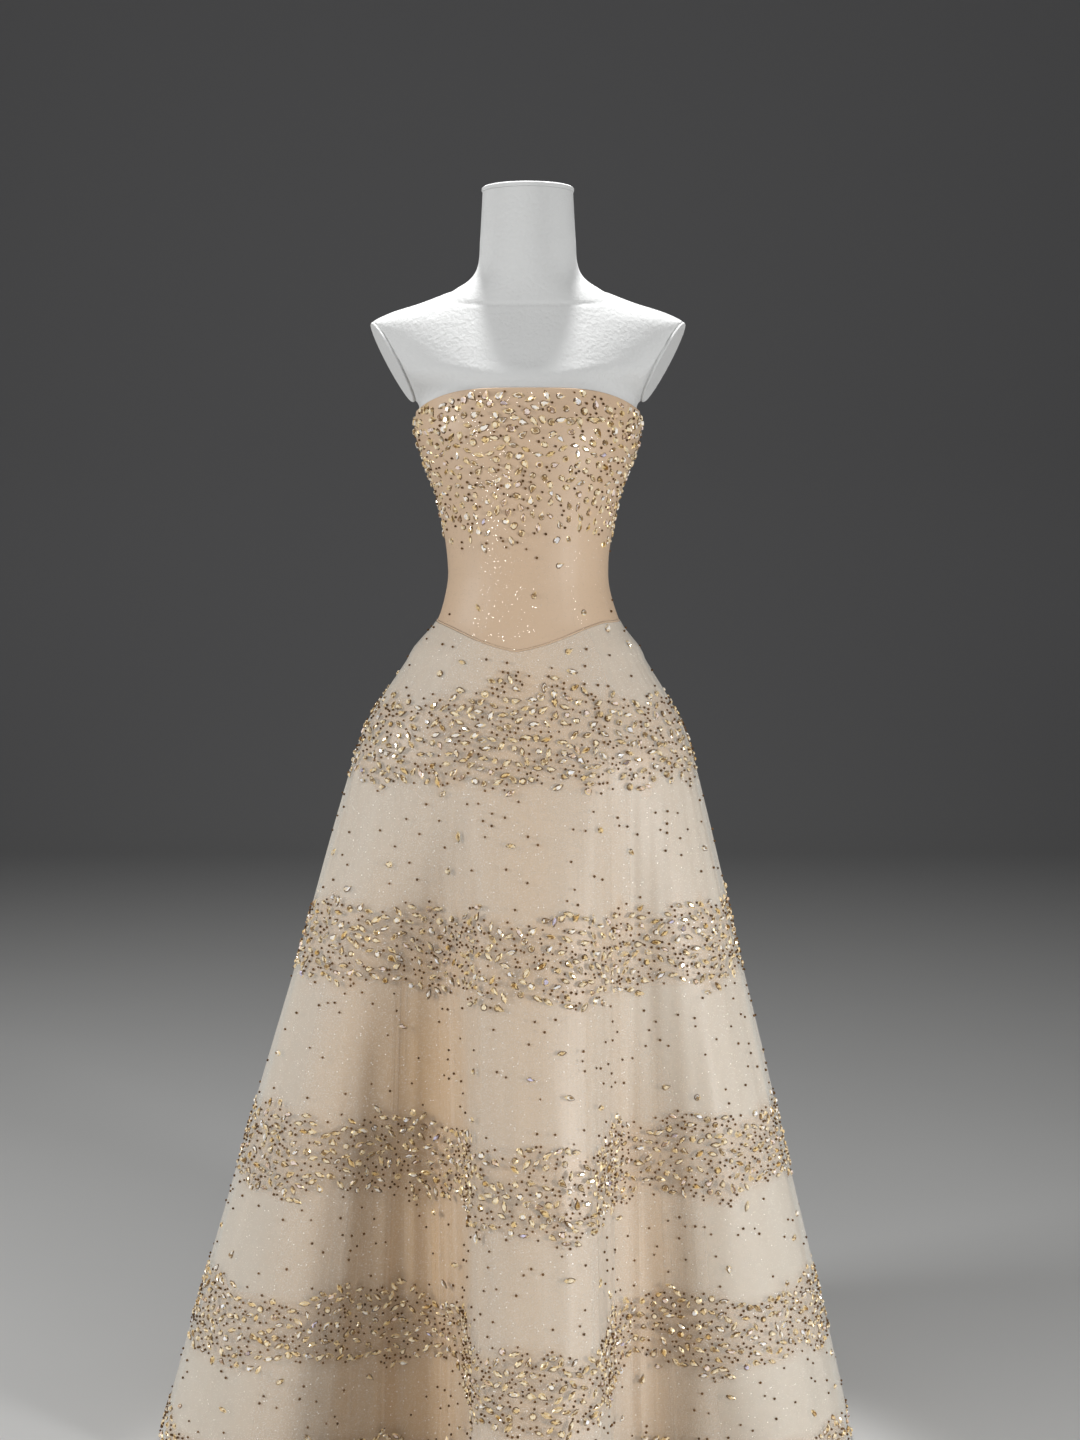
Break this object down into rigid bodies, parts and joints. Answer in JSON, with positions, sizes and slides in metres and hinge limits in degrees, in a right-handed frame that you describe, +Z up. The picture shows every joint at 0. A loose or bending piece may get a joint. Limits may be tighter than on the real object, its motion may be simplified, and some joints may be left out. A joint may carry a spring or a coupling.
{
  "type": "strapless a-line evening gown on a limbless dress form",
  "caption": "Strapless floor-length A-line evening gown with a pointed waist seam and deep organ folds, worn by a limbless dress form on a pole and a round base.",
  "frame": {"origin": "centre of the round base's underside, on the floor below the form's axis", "axes": "+Z up, the front of the gown faces -Y, +X is the wearer's left"},
  "size_m": [0.9027, 0.7664, 1.6113],
  "materials": {
    "bodice": "peach nude glitter tulle over satin, set with crystals",
    "skirt": "champagne glitter tulle over satin, banded with crystals",
    "piping": "corded satin piping",
    "zip_tape": "woven polyester tape",
    "zip_metal": "champagne lacquer",
    "form_cover": "matt white jersey cover",
    "stand_metal": "satin",
    "crystal_champagne": "foil-backed facets",
    "crystal_clear": "foil-backed facets",
    "bead_bronze": "metallic seed beads"
  },
  "bodies": {
    "gown_and_form": {"bodice_front": "bodice", "bodice_side_front_left": "bodice", "bodice_side_front_right": "bodice", "bodice_side_back_left": "bodice", "bodice_side_back_right": "bodice", "bodice_back_left": "bodice", "bodice_back_right": "bodice", "waist_piping": "piping", "skirt_front": "skirt", "skirt_side_front_left": "skirt", "skirt_side_front_right": "skirt", "skirt_side_back_left": "skirt", "skirt_side_back_right": "skirt", "skirt_back_left": "skirt", "skirt_back_right": "skirt", "zip_tape_left": "zip_tape", "zip_tape_right": "zip_tape", "zip_slider": "zip_metal", "form_torso": "form_cover", "form_neck_cap": "form_cover", "form_arm_cap_left": "form_cover", "form_arm_cap_right": "form_cover", "form_pole": "stand_metal", "form_base": "stand_metal"},
    "pull_tab": {"zip_pull_tab": "zip_metal"}
  },
  "joints": [
    {"name": "pull_tab_swing", "type": "hinge", "parent": "gown_and_form", "child": "pull_tab", "pos_m": [0, 0.0972, 1.288], "axis": [1, 0, 0], "range_deg": [0, 160]}
  ]
}
